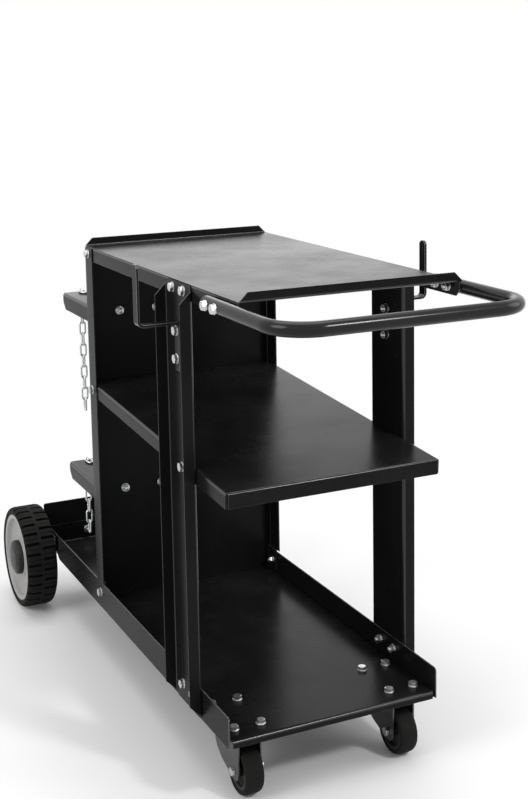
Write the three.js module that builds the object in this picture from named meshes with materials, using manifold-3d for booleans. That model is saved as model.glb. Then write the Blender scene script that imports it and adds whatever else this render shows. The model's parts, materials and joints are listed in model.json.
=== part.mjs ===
// Two-shelf welding cart with a gas cylinder platform, rear wheels and front swivel casters.
// Millimetres. X runs across the cart, the front faces -Y, Z is up from the floor.
import * as THREE from "three";
import { mergeVertices } from "three/addons/utils/BufferGeometryUtils.js";
import Module from "manifold-3d";

const wasm = await Module();
wasm.setup();

// Sheet steel
const sheet = 2;
const half = sheet / 2;
const bend = 3;
const play = 0.2;
const boltHole = 4.3;

// Main frame
const halfWidth = 187;
const deckTop = 115;
const deckFront = -282;
const deckRear = 692;
const railLow = 103;
const railHigh = 155;
const stopLow = 116;
const stopHigh = 206;
const stopHalf = 196;
const stopBolts = [-100, 0, 100];
const platformWall = 350;
const plateLift = 2.4;

// Shelves
const topHeight = 811;
const topFront = -353.5;
const topRear = 353.5;
const topLip = 14;
const topSkirt = 26;
const midFront = -291;
const midHeight = 513;
const midLength = 639;
const midSkirt = 25;
const midSlope = THREE.MathUtils.degToRad(3.4);

// Posts and back plate
const postFront = -178;
const postRear = -71;
const postMiddle = (postFront + postRear) / 2;
const postDepth = 21.5;
const postLow = 105;
const postHigh = 809;
const postBoltStep = 22.5;
const wingDepth = 40;
const wingBoltY = platformWall - 18;

// Handle
const handleRadius = 11;
const handleWall = 2;
const handleFront = -520;
const handleEnd = -262;
const handleHeight = 798;
const handleBend = 60;
const handleBolts = [-282, -316];
const handleX = halfWidth + play + handleRadius;

// Cable hooks
const hookBar = 4;
const hookWidth = 18;
const hookLow = 668;
const hookArm = 745;
const hookHigh = 842;
const hookReach = 259;
const hookBolts = [687, 732];

// Cylinder brackets and chains
const bracketTops = { upper: 695, lower: 344 };
const bracketSheet = 3;
const bracketHalf = 183;
const bracketRear = 525;
const bracketSkirt = 32;
const bracketBolts = [50, 125];
const bracketBoltDrop = 13;
const cradleRadius = 132;
const cradleY = 545;
const slotX = 148;
const slotDepth = 19;
const slotWidth = 6.4;
const chainY = 516;
const wire = 2;
const linkBow = 5.5;
const linkLeg = 7.5;
const linkStep = 22.5;
const linkFree = 21.7;
const linkGap = 0.3;
const linkBite = 0.7;
const chainLinks = { upper: 10, lower: 6 };

// Rear wheels
const wheelRadius = 106;
const tyreWidth = 64;
const axleY = 668;
const axleRadius = 6.3;
const axleHalf = 266;
const wheelFace = 267;
const hubLength = 62;
const wheelSides = 36;
const treadRadius = wheelRadius / Math.cos(Math.PI / wheelSides);
const treadBlocks = 18;

// Casters
const casterX = 140;
const casterY = -202;
const casterRadius = 40;
const casterSides = 24;
const casterTread = casterRadius / Math.cos(Math.PI / casterSides);
const casterTrail = 35;
const forkInner = 18;
const forkSheet = 2.5;
const plateTop = deckTop - sheet - play;
const plateThick = 3;
const casterHoles = [23, 45];

// Colours
const blackCoat = { color: 0x16171a, roughness: 0.32, metalness: 0.0 };
const zinc = { color: 0xb6bac0, roughness: 0.34, metalness: 1.0 };
const rubber = { color: 0x1b1b1b, roughness: 0.88, metalness: 0.0 };
const paleDisc = { color: 0xcfcfcb, roughness: 0.45, metalness: 0.0 };
const blackPlastic = { color: 0x191a1b, roughness: 0.5, metalness: 0.0 };

const cart = new THREE.Group();

// A closed solid from any geometry, for joining and cutting.
function solid(geometry) {
  const bare = new THREE.BufferGeometry();
  const flat = geometry.index ? geometry.toNonIndexed() : geometry;
  bare.setAttribute("position", flat.getAttribute("position").clone());
  const merged = mergeVertices(bare, 1e-4);
  const old = merged.index.array;
  const kept = [];
  for (let i = 0; i < old.length; i += 3) {
    const [a, b, c] = [old[i], old[i + 1], old[i + 2]];
    if (a !== b && b !== c && c !== a) kept.push(a, b, c);
  }
  const vertProperties = new Float32Array(merged.getAttribute("position").array);
  const triVerts = new Uint32Array(kept);
  return new wasm.Manifold(new wasm.Mesh({ numProp: 3, vertProperties, triVerts }));
}

// Drawable geometry from a solid, with flat faces.
function drawable(body) {
  const mesh = body.getMesh();
  const stride = mesh.numProp;
  const position = new Float32Array(mesh.triVerts.length * 3);
  mesh.triVerts.forEach((vertex, i) => {
    for (let axis = 0; axis < 3; axis += 1) {
      position[i * 3 + axis] = mesh.vertProperties[vertex * stride + axis];
    }
  });
  const geometry = new THREE.BufferGeometry();
  geometry.setAttribute("position", new THREE.BufferAttribute(position, 3));
  geometry.computeVertexNormals();
  return geometry;
}

function add(name, body, look) {
  const mesh = new THREE.Mesh(drawable(body), new THREE.MeshStandardMaterial(look));
  mesh.name = name;
  cart.add(mesh);
  return mesh;
}

function join(bodies) {
  return bodies.reduce((whole, body) => whole.add(body));
}

function cut(body, cutters) {
  return cutters.reduce((rest, cutter) => rest.subtract(cutter), body);
}

function outline(points) {
  return new THREE.Shape(points.map(([a, b]) => new THREE.Vector2(a, b)));
}

// The outline of bent sheet: a mid-line of straight runs with rounded bends, given its thickness.
function bentOutline(points, thickness, radius, steps = 3) {
  const line = points.map(([a, b]) => new THREE.Vector2(a, b));
  const stations = [];
  const place = (point, direction) => {
    stations.push({ point, side: new THREE.Vector2(-direction.y, direction.x) });
  };
  line.forEach((corner, i) => {
    if (i === 0) {
      place(corner, line[1].clone().sub(corner).normalize());
      return;
    }
    const into = corner.clone().sub(line[i - 1]).normalize();
    if (i === line.length - 1) {
      place(corner, into);
      return;
    }
    const out = line[i + 1].clone().sub(corner).normalize();
    const turn = Math.atan2(into.cross(out), into.dot(out));
    const reach = radius * Math.tan(Math.abs(turn) / 2);
    const start = corner.clone().addScaledVector(into, -reach);
    const side = new THREE.Vector2(-into.y, into.x).multiplyScalar(Math.sign(turn));
    const centre = start.clone().addScaledVector(side, radius);
    for (let k = 0; k <= steps; k += 1) {
      const angle = (turn * k) / steps;
      const arm = start.clone().sub(centre).rotateAround(new THREE.Vector2(), angle);
      const direction = into.clone().rotateAround(new THREE.Vector2(), angle);
      place(centre.clone().add(arm), direction);
    }
  });
  const left = stations.map((s) => s.point.clone().addScaledVector(s.side, thickness / 2));
  const right = stations.map((s) => s.point.clone().addScaledVector(s.side, -thickness / 2));
  return new THREE.Shape(left.concat(right.reverse()));
}

function extruded(shape, depth, across, up, along, start, curveSegments = 10) {
  const geometry = new THREE.ExtrudeGeometry(shape, { depth, bevelEnabled: false, curveSegments });
  geometry.applyMatrix4(new THREE.Matrix4().makeBasis(across, up, along).setPosition(start));
  return solid(geometry);
}

const axisX = new THREE.Vector3(1, 0, 0);
const axisY = new THREE.Vector3(0, 1, 0);
const axisZ = new THREE.Vector3(0, 0, 1);

// Outlines in (y, z), (x, z) and (x, y) pushed along the third axis.
function alongX(shape, low, high) {
  return extruded(shape, high - low, axisY, axisZ, axisX, new THREE.Vector3(low, 0, 0));
}

function alongY(shape, low, high) {
  return extruded(shape, high - low, axisX, axisZ, axisY.clone().negate(), new THREE.Vector3(0, high, 0));
}

function alongZ(shape, low, high, curveSegments) {
  return extruded(shape, high - low, axisX, axisY, axisZ, new THREE.Vector3(0, 0, low), curveSegments);
}

// A turned body from a closed profile of (radius, height) points, its axis along the given direction.
// Its sides start half a step round, so a wheel stands on a flat.
function turned(profile, direction, centre, segments) {
  const points = profile.map(([r, h]) => new THREE.Vector2(r, h));
  points.push(points[0].clone());
  const geometry = new THREE.LatheGeometry(points, segments, Math.PI / segments);
  geometry.applyQuaternion(new THREE.Quaternion().setFromUnitVectors(axisY, direction));
  geometry.translate(...centre);
  return solid(facesOut(geometry) ? geometry : flipped(geometry));
}

// True when the triangles of a closed geometry face outwards.
function facesOut(geometry) {
  const position = geometry.toNonIndexed().getAttribute("position");
  const corner = (i) => new THREE.Vector3().fromBufferAttribute(position, i);
  let volume = 0;
  for (let i = 0; i < position.count; i += 3) {
    volume += corner(i).dot(corner(i + 1).cross(corner(i + 2)));
  }
  return volume > 0;
}

function flipped(geometry) {
  const copy = geometry.toNonIndexed();
  const position = copy.getAttribute("position");
  for (let i = 0; i < position.count; i += 3) {
    const b = new THREE.Vector3().fromBufferAttribute(position, i + 1);
    const c = new THREE.Vector3().fromBufferAttribute(position, i + 2);
    position.setXYZ(i + 1, c.x, c.y, c.z);
    position.setXYZ(i + 2, b.x, b.y, b.z);
  }
  return copy;
}

function rod(radius, length, direction, centre, segments = 8) {
  const geometry = new THREE.CylinderGeometry(radius, radius, length, segments);
  geometry.applyQuaternion(new THREE.Quaternion().setFromUnitVectors(axisY, direction));
  geometry.translate(...centre);
  return solid(geometry);
}

function block(size, centre) {
  const geometry = new THREE.BoxGeometry(...size);
  geometry.translate(...centre);
  return solid(geometry);
}

const holeX = (x, y, z, reach = 12) => rod(boltHole, reach, axisX, [x, y, z]);
const holeY = (x, y, z, reach = 12) => rod(boltHole, reach, axisY, [x, y, z]);
const holeZ = (x, y, z, reach = 12) => rod(boltHole, reach, axisZ, [x, y, z]);
const bothSides = (make) => [make(-1), make(1)];

// Heights of the bolts through the side edges
const postBoltsY = [postMiddle - postBoltStep, postMiddle + postBoltStep];
const topBoltZ = topHeight - topSkirt / 2;
const lowBoltZ = (deckTop + railHigh) / 2;
const lugBoltsY = [axleY - 22, axleY + 8];

// A point of the sloping middle shelf, from its own length and height.
function midPoint(along, height) {
  const y = midFront + along * Math.cos(midSlope) - height * Math.sin(midSlope);
  const z = midHeight + along * Math.sin(midSlope) + height * Math.cos(midSlope);
  return { y, z };
}

const midPostBolt = midPoint((postMiddle - midFront) / Math.cos(midSlope), -midSkirt / 2);
const midWingBolt = midPoint((wingBoltY - midFront) / Math.cos(midSlope), -midSkirt / 2);

// Lower deck: side and front edges bent down, rear edge bent up
function buildDeck() {
  const edge = halfWidth - sheet - play - half;
  const floor = deckTop - half;
  const acrossLine = [[-edge, railLow], [-edge, floor], [edge, floor], [edge, railLow]];
  const lengthLine = [
    [deckFront + half, railLow],
    [deckFront + half, floor],
    [deckRear - half, floor],
    [deckRear - half, railHigh],
  ];
  const pan = join([
    alongY(bentOutline(acrossLine, sheet, bend), deckFront + 5, deckRear - 5),
    alongX(bentOutline(lengthLine, sheet, bend), -edge + 4, edge - 4),
  ]);
  const holes = [];
  for (const side of [-1, 1]) {
    for (const dx of [-casterHoles[0], casterHoles[0]]) {
      for (const dy of [-casterHoles[1], casterHoles[1]]) {
        holes.push(holeZ(side * casterX + dx, casterY + dy, floor));
      }
    }
  }
  for (const x of stopBolts) holes.push(holeY(x, deckRear - half, lowBoltZ));
  const axleGap = block([halfWidth * 2, 70, 10], [0, axleY, deckTop - 2.4 - 5]);
  add("lower_deck", cut(pan, [...holes, axleGap]), blackCoat);
}

// Side rails: flat strips outside the deck's edges, cut away at the back for the axle
function buildRails() {
  const strip = outline([
    [deckFront, railLow],
    [axleY - 52, railLow],
    [axleY - 28, stopLow],
    [deckRear, stopLow],
    [deckRear, railHigh],
    [deckFront + 4, railHigh],
    [deckFront, railHigh - 4],
  ]);
  for (const [name, side] of [["left", -1], ["right", 1]]) {
    const inner = side * (halfWidth - sheet);
    const outer = side * halfWidth;
    const rail = alongX(strip, Math.min(inner, outer), Math.max(inner, outer));
    const holes = postBoltsY.map((y) => holeX(outer, y, lowBoltZ));
    holes.push(holeX(outer, wingBoltY, lowBoltZ));
    for (const y of lugBoltsY) holes.push(holeX(outer, y, lowBoltZ));
    add(`${name}_deck_rail`, cut(rail, holes), blackCoat);
  }
}

// Stop plate: a taller wall behind the platform, keeping the cylinder's foot on the deck
function buildStop() {
  const corner = 3;
  const wall = outline([
    [-stopHalf, stopLow],
    [stopHalf, stopLow],
    [stopHalf, stopHigh - corner],
    [stopHalf - corner, stopHigh],
    [-stopHalf + corner, stopHigh],
    [-stopHalf, stopHigh - corner],
  ]);
  const plate = alongY(wall, deckRear + play, deckRear + play + sheet);
  const holes = stopBolts.map((x) => holeY(x, deckRear + play + half, lowBoltZ));
  add("rear_stop_plate", cut(plate, holes), blackCoat);
}

// Middle shelf: all edges bent down, sloping down to the front
function buildMiddleShelf() {
  const edge = halfWidth - half;
  const acrossLine = [[-edge, -midSkirt], [-edge, -half], [edge, -half], [edge, -midSkirt]];
  const lengthLine = [
    [half, -midSkirt],
    [half, -half],
    [midLength - half, -half],
    [midLength - half, -midSkirt],
  ];
  const flat = join([
    alongY(bentOutline(acrossLine, sheet, bend), 3, midLength - 6),
    alongX(bentOutline(lengthLine, sheet, bend), -edge + 3, edge - 3),
  ]);
  const holes = [];
  for (const y of [postMiddle, wingBoltY]) {
    const along = (y - midFront) / Math.cos(midSlope);
    holes.push(...bothSides((side) => holeX(side * edge, along, -midSkirt / 2)));
  }
  const shelf = add("middle_shelf", cut(flat, holes), blackCoat);
  shelf.rotation.x = midSlope;
  shelf.position.set(0, midFront, midHeight);
}

// Top shelf: front and back edges bent up with slanted ends, side edges bent down
function buildTopShelf() {
  const edge = halfWidth - half;
  const deck = topHeight - half;
  const skirtLow = topHeight - topSkirt;
  const lipHigh = topHeight + topLip;
  const acrossLine = [[-edge, skirtLow], [-edge, deck], [edge, deck], [edge, skirtLow]];
  const lengthLine = [
    [topFront + half, lipHigh],
    [topFront + half, deck],
    [topRear - half, deck],
    [topRear - half, lipHigh],
  ];
  const whole = join([
    alongY(bentOutline(acrossLine, sheet, bend), topFront + 5, topRear - 8),
    alongX(bentOutline(lengthLine, sheet, bend), -halfWidth, halfWidth),
  ]);
  const cutters = [];
  for (const side of [-1, 1]) {
    const slant = outline([
      [side * (halfWidth + 1), topHeight - 1],
      [side * (halfWidth + 1), lipHigh + 1],
      [side * (halfWidth - topLip - 1), lipHigh + 1],
    ]);
    cutters.push(alongY(slant, topFront - 1, topRear + 1));
    const lower = outline([
      [topFront, skirtLow - 1],
      [topFront + 17, skirtLow - 1],
      [topFront, skirtLow + 16],
    ]);
    cutters.push(alongX(lower, side * edge - 4, side * edge + 4));
    for (const y of [...postBoltsY, wingBoltY]) cutters.push(holeX(side * edge, y, topBoltZ));
    for (const y of handleBolts) cutters.push(holeX(side * edge, y, handleHeight, 8));
  }
  add("top_shelf", cut(whole, cutters), blackCoat);
}

// Back plate: side wings bent forward, stepped in at the foot to stand between the rails
function buildBackPlate() {
  const middle = platformWall + half;
  const wingX = halfWidth + play + half;
  const footX = halfWidth - sheet - 0.4 - half;
  const wings = (x, depth) => {
    const tip = platformWall + sheet - depth;
    return bentOutline([[-x, tip], [-x, middle], [x, middle], [x, tip]], sheet, bend);
  };
  const plate = join([
    alongZ(wings(wingX, wingDepth), railHigh + 2, topHeight - sheet - play),
    alongZ(wings(footX, wingDepth - 4), deckTop + plateLift, railHigh + 5),
  ]);
  const cutters = [];
  for (const side of [-1, 1]) {
    cutters.push(holeX(side * wingX, wingBoltY, topBoltZ));
    cutters.push(holeX(side * wingX, midWingBolt.y, midWingBolt.z));
    cutters.push(holeX(side * footX, wingBoltY, lowBoltZ));
    for (const top of Object.values(bracketTops)) {
      for (const x of bracketBolts) cutters.push(holeY(side * x, middle, top - bracketBoltDrop));
    }
  }
  add("back_plate", cut(plate, cutters), blackCoat);
}

// Front posts: channels open to the outside, with slanted flange ends
function buildPosts() {
  const web = halfWidth + play + half;
  const tip = halfWidth + play + postDepth;
  const bendOuter = web + half + 0.2;
  const slant = tip - bendOuter;
  for (const [name, side] of [["left", -1], ["right", 1]]) {
    const line = [
      [side * tip, postFront + half],
      [side * web, postFront + half],
      [side * web, postRear - half],
      [side * tip, postRear - half],
    ];
    const channel = alongZ(bentOutline(line, sheet, bend), postLow, postHigh);
    const cutters = [];
    const topSlant = outline([
      [side * bendOuter, postHigh - 8],
      [side * (tip + 2), postHigh - 8 - slant - 2],
      [side * (tip + 2), postHigh + 2],
      [side * bendOuter, postHigh + 2],
    ]);
    const lowSlant = outline([
      [side * bendOuter, postLow + 6],
      [side * (tip + 2), postLow + 6 + slant + 2],
      [side * (tip + 2), postLow - 2],
      [side * bendOuter, postLow - 2],
    ]);
    cutters.push(alongY(topSlant, postFront - 2, postRear + 2));
    cutters.push(alongY(lowSlant, postFront - 2, postRear + 2));
    for (const [y, inward] of [[postFront, 1], [postRear, -1]]) {
      for (const [z, down] of [[postHigh, -1], [postLow, 1]]) {
        const corner = outline([
          [y - inward, z - down],
          [y + inward * 10, z - down],
          [y - inward, z + down * 10],
        ]);
        cutters.push(alongX(corner, side * web - 5, side * web + 5));
      }
    }
    for (const y of postBoltsY) {
      cutters.push(holeX(side * web, y, topBoltZ));
      cutters.push(holeX(side * web, y, lowBoltZ));
    }
    cutters.push(holeX(side * web, midPostBolt.y, midPostBolt.z));
    for (const z of hookBolts) cutters.push(holeX(side * web, postMiddle, z));
    add(`${name}_front_post`, cut(channel, cutters), blackCoat);
  }
}

// A curve given by ready-made stations, so straight runs need no extra steps.
class Stations extends THREE.Curve {
  constructor(points, tangents) {
    super();
    this.points = points;
    this.tangents = tangents;
  }

  getPointAt(u) {
    return this.points[Math.round(u * (this.points.length - 1))].clone();
  }

  getTangentAt(u) {
    return this.tangents[Math.round(u * (this.points.length - 1))].clone();
  }
}

// Push handle: one bent tube, open at its two rear ends, which take plastic plugs
function buildHandle() {
  const points = [];
  const tangents = [];
  const place = (x, y, dx, dy) => {
    points.push(new THREE.Vector3(x, y, handleHeight));
    tangents.push(new THREE.Vector3(dx, dy, 0).normalize());
  };
  const bendSteps = 7;
  const bendY = handleFront + handleBend;
  place(-handleX, handleEnd, 0, -1);
  for (let k = 0; k <= bendSteps; k += 1) {
    const angle = (Math.PI / 2) * (k / bendSteps);
    const x = -handleX + handleBend * (1 - Math.cos(angle));
    place(x, bendY - handleBend * Math.sin(angle), Math.sin(angle), -Math.cos(angle));
  }
  for (let k = 0; k <= bendSteps; k += 1) {
    const angle = (Math.PI / 2) * (k / bendSteps);
    const x = handleX - handleBend * (1 - Math.sin(angle));
    place(x, bendY - handleBend * Math.cos(angle), Math.cos(angle), Math.sin(angle));
  }
  place(handleX, handleEnd, 0, 1);
  const ring = new THREE.Shape();
  ring.absarc(0, 0, handleRadius, 0, Math.PI * 2);
  const bore = new THREE.Path();
  bore.absarc(0, 0, handleRadius - handleWall, 0, Math.PI * 2);
  ring.holes.push(bore);
  const path = new Stations(points, tangents);
  const tube = new THREE.ExtrudeGeometry(ring, {
    steps: points.length - 1,
    extrudePath: path,
    curveSegments: 6,
    bevelEnabled: false,
  });
  const holes = [];
  for (const side of [-1, 1]) {
    for (const y of handleBolts) holes.push(holeX(side * handleX, y, handleHeight, handleRadius * 3));
  }
  add("push_handle", cut(solid(tube), holes), blackCoat);

  const stem = handleRadius - handleWall - 0.3;
  const plug = [[0, -14], [stem, -14], [stem, 0.3], [handleRadius, 0.3], [handleRadius - 1, 3], [0, 3]];
  for (const [name, side] of [["left", -1], ["right", 1]]) {
    const body = turned(plug, axisY, [side * handleX, handleEnd, handleHeight], 14);
    add(`${name}_handle_plug`, body, blackPlastic);
  }
}

// Cable hooks: flat bar bolted into the post channel, out through its open side, and up
function buildHooks() {
  const inner = halfWidth + play + sheet + play + hookBar / 2;
  for (const [name, side] of [["left", -1], ["right", 1]]) {
    const line = [
      [side * inner, hookLow],
      [side * inner, hookArm],
      [side * hookReach, hookArm],
      [side * hookReach, hookHigh],
    ];
    const low = postMiddle - hookWidth / 2;
    const high = postMiddle + hookWidth / 2;
    const bar = alongY(bentOutline(line, hookBar, 8, 4), low, high);
    const cutters = hookBolts.map((z) => holeX(side * inner, postMiddle, z));
    for (const [y, inward] of [[low, 1], [high, -1]]) {
      const corner = outline([
        [y - inward, hookHigh + 1],
        [y + inward * 6, hookHigh + 1],
        [y - inward, hookHigh - 6],
      ]);
      cutters.push(alongX(corner, side * hookReach - 5, side * hookReach + 5));
    }
    add(`${name}_cable_hook`, cut(bar, cutters), blackCoat);
  }
}

// Cylinder brackets: cradles behind the back plate, with a chain slot in each horn
function buildBrackets() {
  const wall = platformWall + sheet + play + bracketSheet / 2;
  const edge = bracketHalf - bracketSheet / 2;
  for (const [name, top] of Object.entries(bracketTops)) {
    const mid = top - bracketSheet / 2;
    const low = top - bracketSkirt;
    const acrossLine = [[-edge, low], [-edge, mid], [edge, mid], [edge, low]];
    const lengthLine = [[wall, low], [wall, mid], [wall + 70, mid]];
    const cradle = join([
      alongY(bentOutline(acrossLine, bracketSheet, 4), wall + 6, bracketRear),
      alongX(bentOutline(lengthLine, bracketSheet, 4), -edge + 5, edge - 5),
    ]);
    const cutters = [rod(cradleRadius, 20, axisZ, [0, cradleY, mid], 40)];
    for (const side of [-1, 1]) {
      const slotEnd = bracketRear - slotDepth + slotWidth / 2;
      const open = bracketRear + 4 - slotEnd;
      cutters.push(rod(slotWidth / 2, 12, axisZ, [side * slotX, slotEnd, mid], 12));
      cutters.push(block([slotWidth, open, 12], [side * slotX, slotEnd + open / 2, mid]));
      const corner = outline([
        [bracketRear + 1, low - 1],
        [bracketRear - 15, low - 1],
        [bracketRear + 1, low + 15],
      ]);
      cutters.push(alongX(corner, side * edge - 8, side * edge + 8));
      for (const x of bracketBolts) cutters.push(holeY(side * x, wall, top - bracketBoltDrop));
    }
    add(`${name}_cylinder_bracket`, cut(cradle, cutters), blackCoat);
  }
}

// One chain link lying flat and lengthwise: a ring drawn out into a long link.
function link() {
  const geometry = new THREE.TorusGeometry(linkBow, wire, 6, 10);
  geometry.rotateZ(Math.PI / 10);
  const position = geometry.getAttribute("position");
  for (let i = 0; i < position.count; i += 1) {
    const y = position.getY(i);
    position.setY(i, y + Math.sign(y) * linkLeg);
  }
  return geometry;
}

// The same link standing on end, at a height on the chain's line.
function standingLink(z, turnedAcross) {
  const geometry = link();
  geometry.rotateX(Math.PI / 2);
  if (turnedAcross) geometry.rotateZ(Math.PI / 2);
  geometry.translate(-slotX, chainY, z);
  return solid(geometry);
}

// Chains: one link lies across the slot and holds a second that stands in it; the rest hang free.
function buildChains() {
  const span = linkBow + linkLeg;
  for (const [name, top] of Object.entries(bracketTops)) {
    const lying = link();
    lying.translate(-slotX, chainY - span, top + linkGap + wire);
    const second = top + linkGap + wire * 2 - linkBite - (span - wire);
    add(`${name}_chain_anchor`, join([solid(lying), standingLink(second, true)]), zinc);
    const links = [];
    for (let k = 0; k < chainLinks[name]; k += 1) {
      links.push(standingLink(second - linkFree - k * linkStep, k % 2 === 1));
    }
    add(`${name}_chain`, join(links), zinc);
  }
}

// Rear axle, its two lugs bolted outside the rails, and the sleeves that keep the wheels out
function buildAxle() {
  add("rear_axle", rod(axleRadius, axleHalf * 2, axisX, [0, axleY, wheelRadius], 20), zinc);
  const lugSheet = 3;
  const lugIn = halfWidth + play;
  const lugOut = lugIn + lugSheet;
  const lug = outline([
    [axleY - 34, railHigh - 6],
    [axleY - 34, lowBoltZ - 12],
    [axleY - 16, wheelRadius - 6],
    [axleY - 9, wheelRadius - 15],
    [axleY + 9, wheelRadius - 15],
    [axleY + 16, wheelRadius - 6],
    [axleY + 17, railHigh - 6],
  ]);
  for (const [name, side] of [["left", -1], ["right", 1]]) {
    const plate = alongX(lug, Math.min(side * lugIn, side * lugOut), Math.max(side * lugIn, side * lugOut));
    const cutters = [rod(axleRadius + 0.2, 20, axisX, [side * lugOut, axleY, wheelRadius], 20)];
    for (const y of lugBoltsY) cutters.push(holeX(side * lugOut, y, lowBoltZ));
    add(`${name}_axle_lug`, cut(plate, cutters), blackCoat);

    const start = lugOut + play;
    const end = wheelFace - hubLength - 0.3;
    const sleeveRadius = 9;
    const sleeve = [
      [axleRadius + 0.2, start],
      [sleeveRadius, start],
      [sleeveRadius, end],
      [axleRadius + 0.2, end],
    ];
    const direction = axisX.clone().multiplyScalar(side);
    add(`${name}_axle_sleeve`, turned(sleeve, direction, [0, axleY, wheelRadius], 18), zinc);
  }
}

// Rear wheels: moulded disc, tyre with two rows of cut blocks, press-on hub cap
function buildWheels() {
  const disc = [
    [axleRadius + 0.3, -2],
    [21, -2],
    [24, -7.5],
    [38, -7.5],
    [62, -7.7],
    [77, -3.6],
    [84, 0],
    [91, 0],
    [91, -3],
    [86, -5],
    [86, -55],
    [91, -57],
    [91, -60],
    [82, -60],
    [82, -16],
    [74, -14],
    [30, -15.5],
    [21, -22],
    [21, -hubLength],
    [axleRadius + 0.3, -hubLength],
  ];
  const tyre = [
    [86.4, -5.6],
    [91.4, -3.4],
    [91.4, 0.6],
    [97, 2],
    [102.3, 0.6],
    [105, -3.5],
    [treadRadius, -9],
    [treadRadius, -27],
    [treadRadius - 4, -28.3],
    [treadRadius - 4, -31.7],
    [treadRadius, -33],
    [treadRadius, -51],
    [105, -56.5],
    [102.3, -60.6],
    [97, -62],
    [91.4, -60.6],
    [91.4, -56.6],
    [86.4, -54.4],
  ];
  const cap = [
    [0, 9],
    [18, 8.6],
    [30, 6],
    [35.4, 1.5],
    [36, -7.1],
    [33.4, -7.1],
    [33, 0.5],
    [28, 3.6],
    [17, 5.8],
    [0, 6.2],
  ];
  for (const [name, side] of [["left", -1], ["right", 1]]) {
    const direction = axisX.clone().multiplyScalar(side);
    const centre = [side * wheelFace, axleY, wheelRadius];
    add(`${name}_wheel_disc`, turned(disc, direction, centre, 28), paleDisc);
    add(`${name}_hub_cap`, turned(cap, direction, centre, 20), blackPlastic);
    const grooves = [];
    for (let k = 0; k < treadBlocks * 2; k += 1) {
      const angle = (k * Math.PI) / treadBlocks;
      const outward = k % 2 === 0;
      const geometry = new THREE.BoxGeometry(tyreWidth / 2 - 2, 6, 8);
      geometry.translate((outward ? 1 : -1) * (tyreWidth / 4 + 1), 0, wheelRadius);
      geometry.rotateX(angle);
      geometry.translate(side * (wheelFace + 2 - tyreWidth / 2), axleY, wheelRadius);
      grooves.push(solid(geometry));
    }
    const ring = turned(tyre, direction, centre, wheelSides);
    add(`${name}_wheel_tyre`, cut(ring, grooves), rubber);
  }
}

function hexagon(acrossFlats) {
  const points = [];
  for (let k = 0; k < 6; k += 1) {
    const angle = Math.PI / 6 + (k * Math.PI) / 3;
    const radius = acrossFlats / Math.sqrt(3);
    points.push([Math.cos(angle) * radius, Math.sin(angle) * radius]);
  }
  return points;
}

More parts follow.
